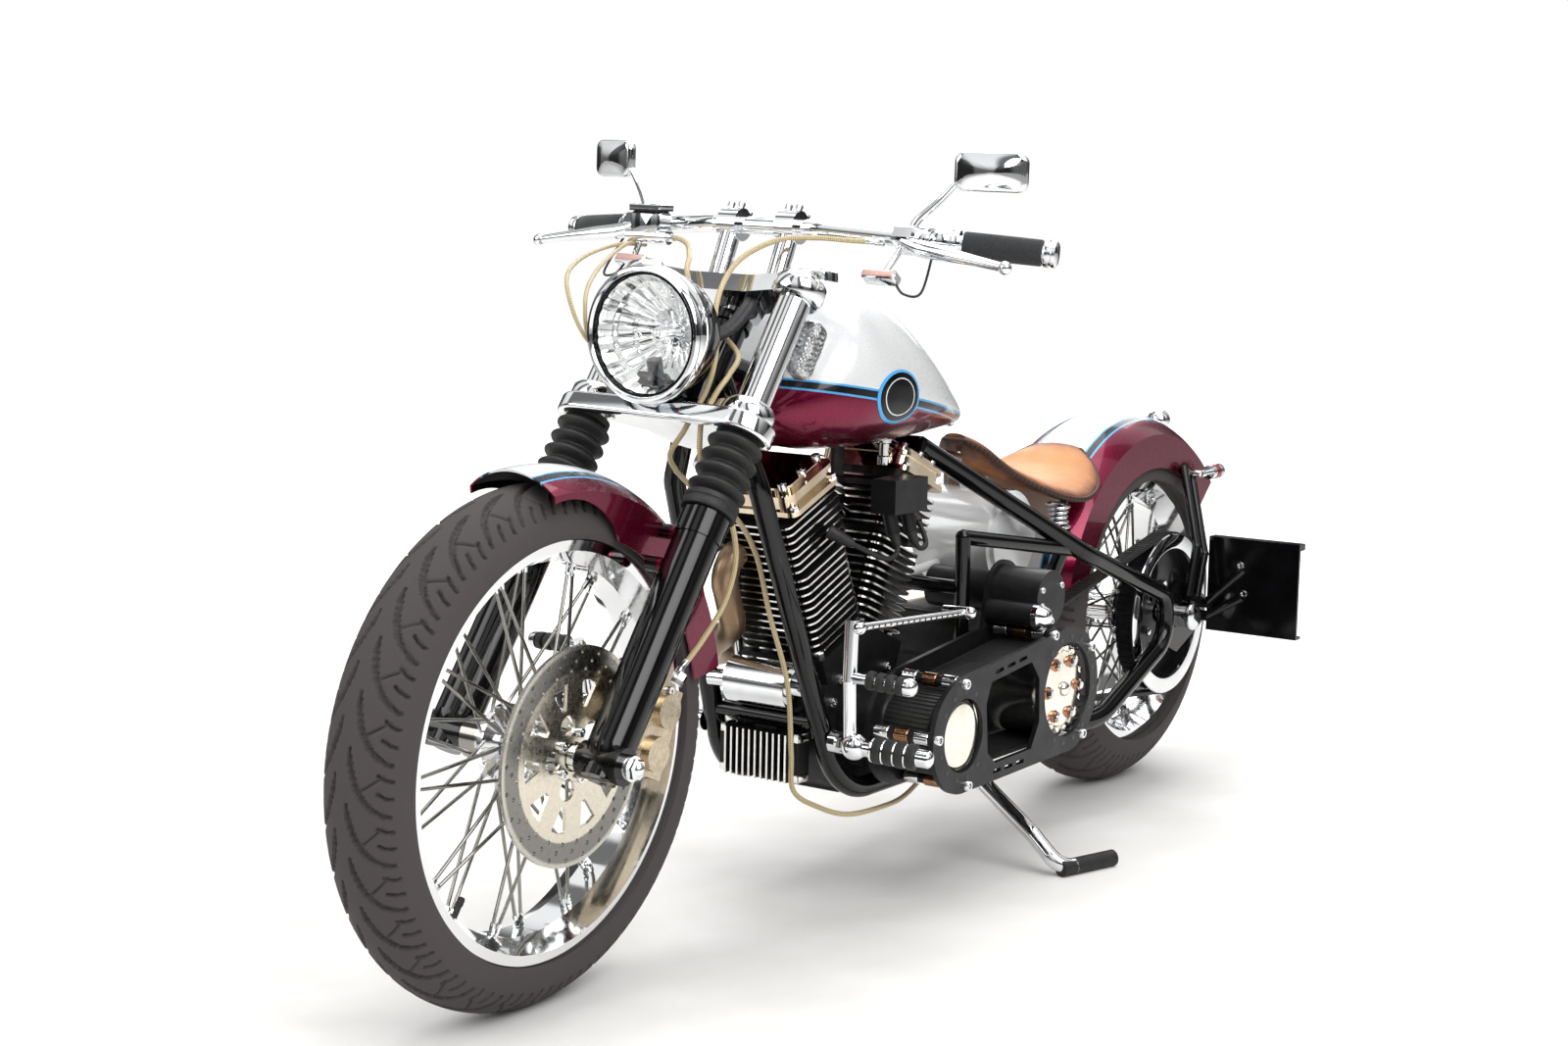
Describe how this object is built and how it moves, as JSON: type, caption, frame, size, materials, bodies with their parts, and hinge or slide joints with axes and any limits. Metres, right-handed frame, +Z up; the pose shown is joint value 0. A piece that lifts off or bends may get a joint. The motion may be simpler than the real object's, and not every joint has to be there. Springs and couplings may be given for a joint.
{
  "type": "bobber motorcycle",
  "caption": "Rigid-frame bobber motorcycle with a V-twin engine, open primary drive, wire wheels, solo sprung seat and low drag bars, parked on its side stand.",
  "frame": {"origin": "on the floor, under the middle of the parked motorcycle", "axes": "+X forward, +Y to the rider's left, +Z up; the motorcycle leans 3 degrees to its left"},
  "size_m": [2.3174, 0.8273, 1.1745],
  "materials": {
    "tyre_rubber": "matte tread rubber",
    "chrome": "polished chrome plate",
    "disc_steel": "ground steel",
    "black_paint": "gloss black",
    "black_rubber": "matte black",
    "lens_glass": "clear",
    "signal_lens": "tinted",
    "nickel": "satin nickel",
    "two_tone_paint": "pearl silver and burgundy with black bands",
    "braided_cable": "braided under clear sleeve",
    "black_engine": "black with machined edges",
    "black_plastic": "satin black",
    "heat_tinted_steel": "heat tinted",
    "polished_alloy": "polished",
    "pulley_black": "black anodised",
    "tan_leather": "tooled tan leather"
  },
  "bodies": {
    "frame": {"frame": "black_paint", "engine_case": "black_engine", "front_cylinder": "black_engine", "rear_cylinder": "black_engine", "rocker_boxes": "chrome", "pushrod_tubes": "chrome", "air_cleaner": "chrome", "exhaust_pipes": "heat_tinted_steel", "oil_filter": "chrome", "oil_cooler": "black_engine", "ignition_coil": "black_plastic", "transmission": "black_engine", "starter": "black_paint", "primary_plate": "black_paint", "primary_pulleys": "polished_alloy", "primary_belt": "black_rubber", "primary_guard": "black_paint", "final_belt": "black_rubber", "fuel_tank": "two_tone_paint", "oil_tank": "two_tone_paint", "seat": "tan_leather", "seat_springs": "chrome", "rear_fender": "two_tone_paint", "fender_struts": "black_paint", "rear_lamps": "chrome", "plate_holder": "black_paint", "rear_caliper": "black_paint", "rear_axle": "chrome", "foot_controls": "chrome", "clutch_cable_lower": "braided_cable"},
    "steering": {"front_axle": "chrome", "fork_sliders": "black_paint", "fork_gaiters": "black_rubber", "fork_tubes": "chrome", "triple_clamps": "chrome", "headlamp_shell": "black_paint", "headlamp_lens": "lens_glass", "handlebar": "chrome", "bar_risers": "chrome", "grips": "black_rubber", "hand_controls": "chrome", "mirrors": "chrome", "front_signals": "signal_lens", "front_caliper": "nickel", "front_fender": "two_tone_paint", "brake_hose": "braided_cable", "clutch_cable_upper": "braided_cable"},
    "front_wheel": {"front_tyre": "tyre_rubber", "front_wire_wheel": "chrome", "front_disc": "disc_steel"},
    "rear_wheel": {"rear_tyre": "tyre_rubber", "rear_wire_wheel": "chrome", "rear_pulley": "pulley_black", "rear_disc": "disc_steel"},
    "side_stand": {"side_stand": "chrome"}
  },
  "joints": [
    {"name": "steering_turn", "type": "hinge", "parent": "frame", "child": "steering", "pos_m": [0.76886, -0.03837, 0.3212], "axis": [-0.5736, 0.0429, 0.818], "range_deg": [-32.4, 27.6]},
    {"name": "front_wheel_spin", "type": "hinge", "parent": "steering", "child": "front_wheel", "pos_m": [0.80897, -0.03485, 0.34913], "axis": [-0.0343, 0.9965, -0.0763], "continuous": true},
    {"name": "rear_wheel_spin", "type": "hinge", "parent": "frame", "child": "rear_wheel", "pos_m": [-0.831, -0.03803, 0.32767], "axis": [0, 0.9986, -0.0523], "continuous": true},
    {"name": "side_stand_fold", "type": "hinge", "parent": "frame", "child": "side_stand", "pos_m": [-0.176, 0.06996, 0.13363], "axis": [-0.0501, 0.3502, 0.9353], "range_deg": [0, 100]}
  ]
}
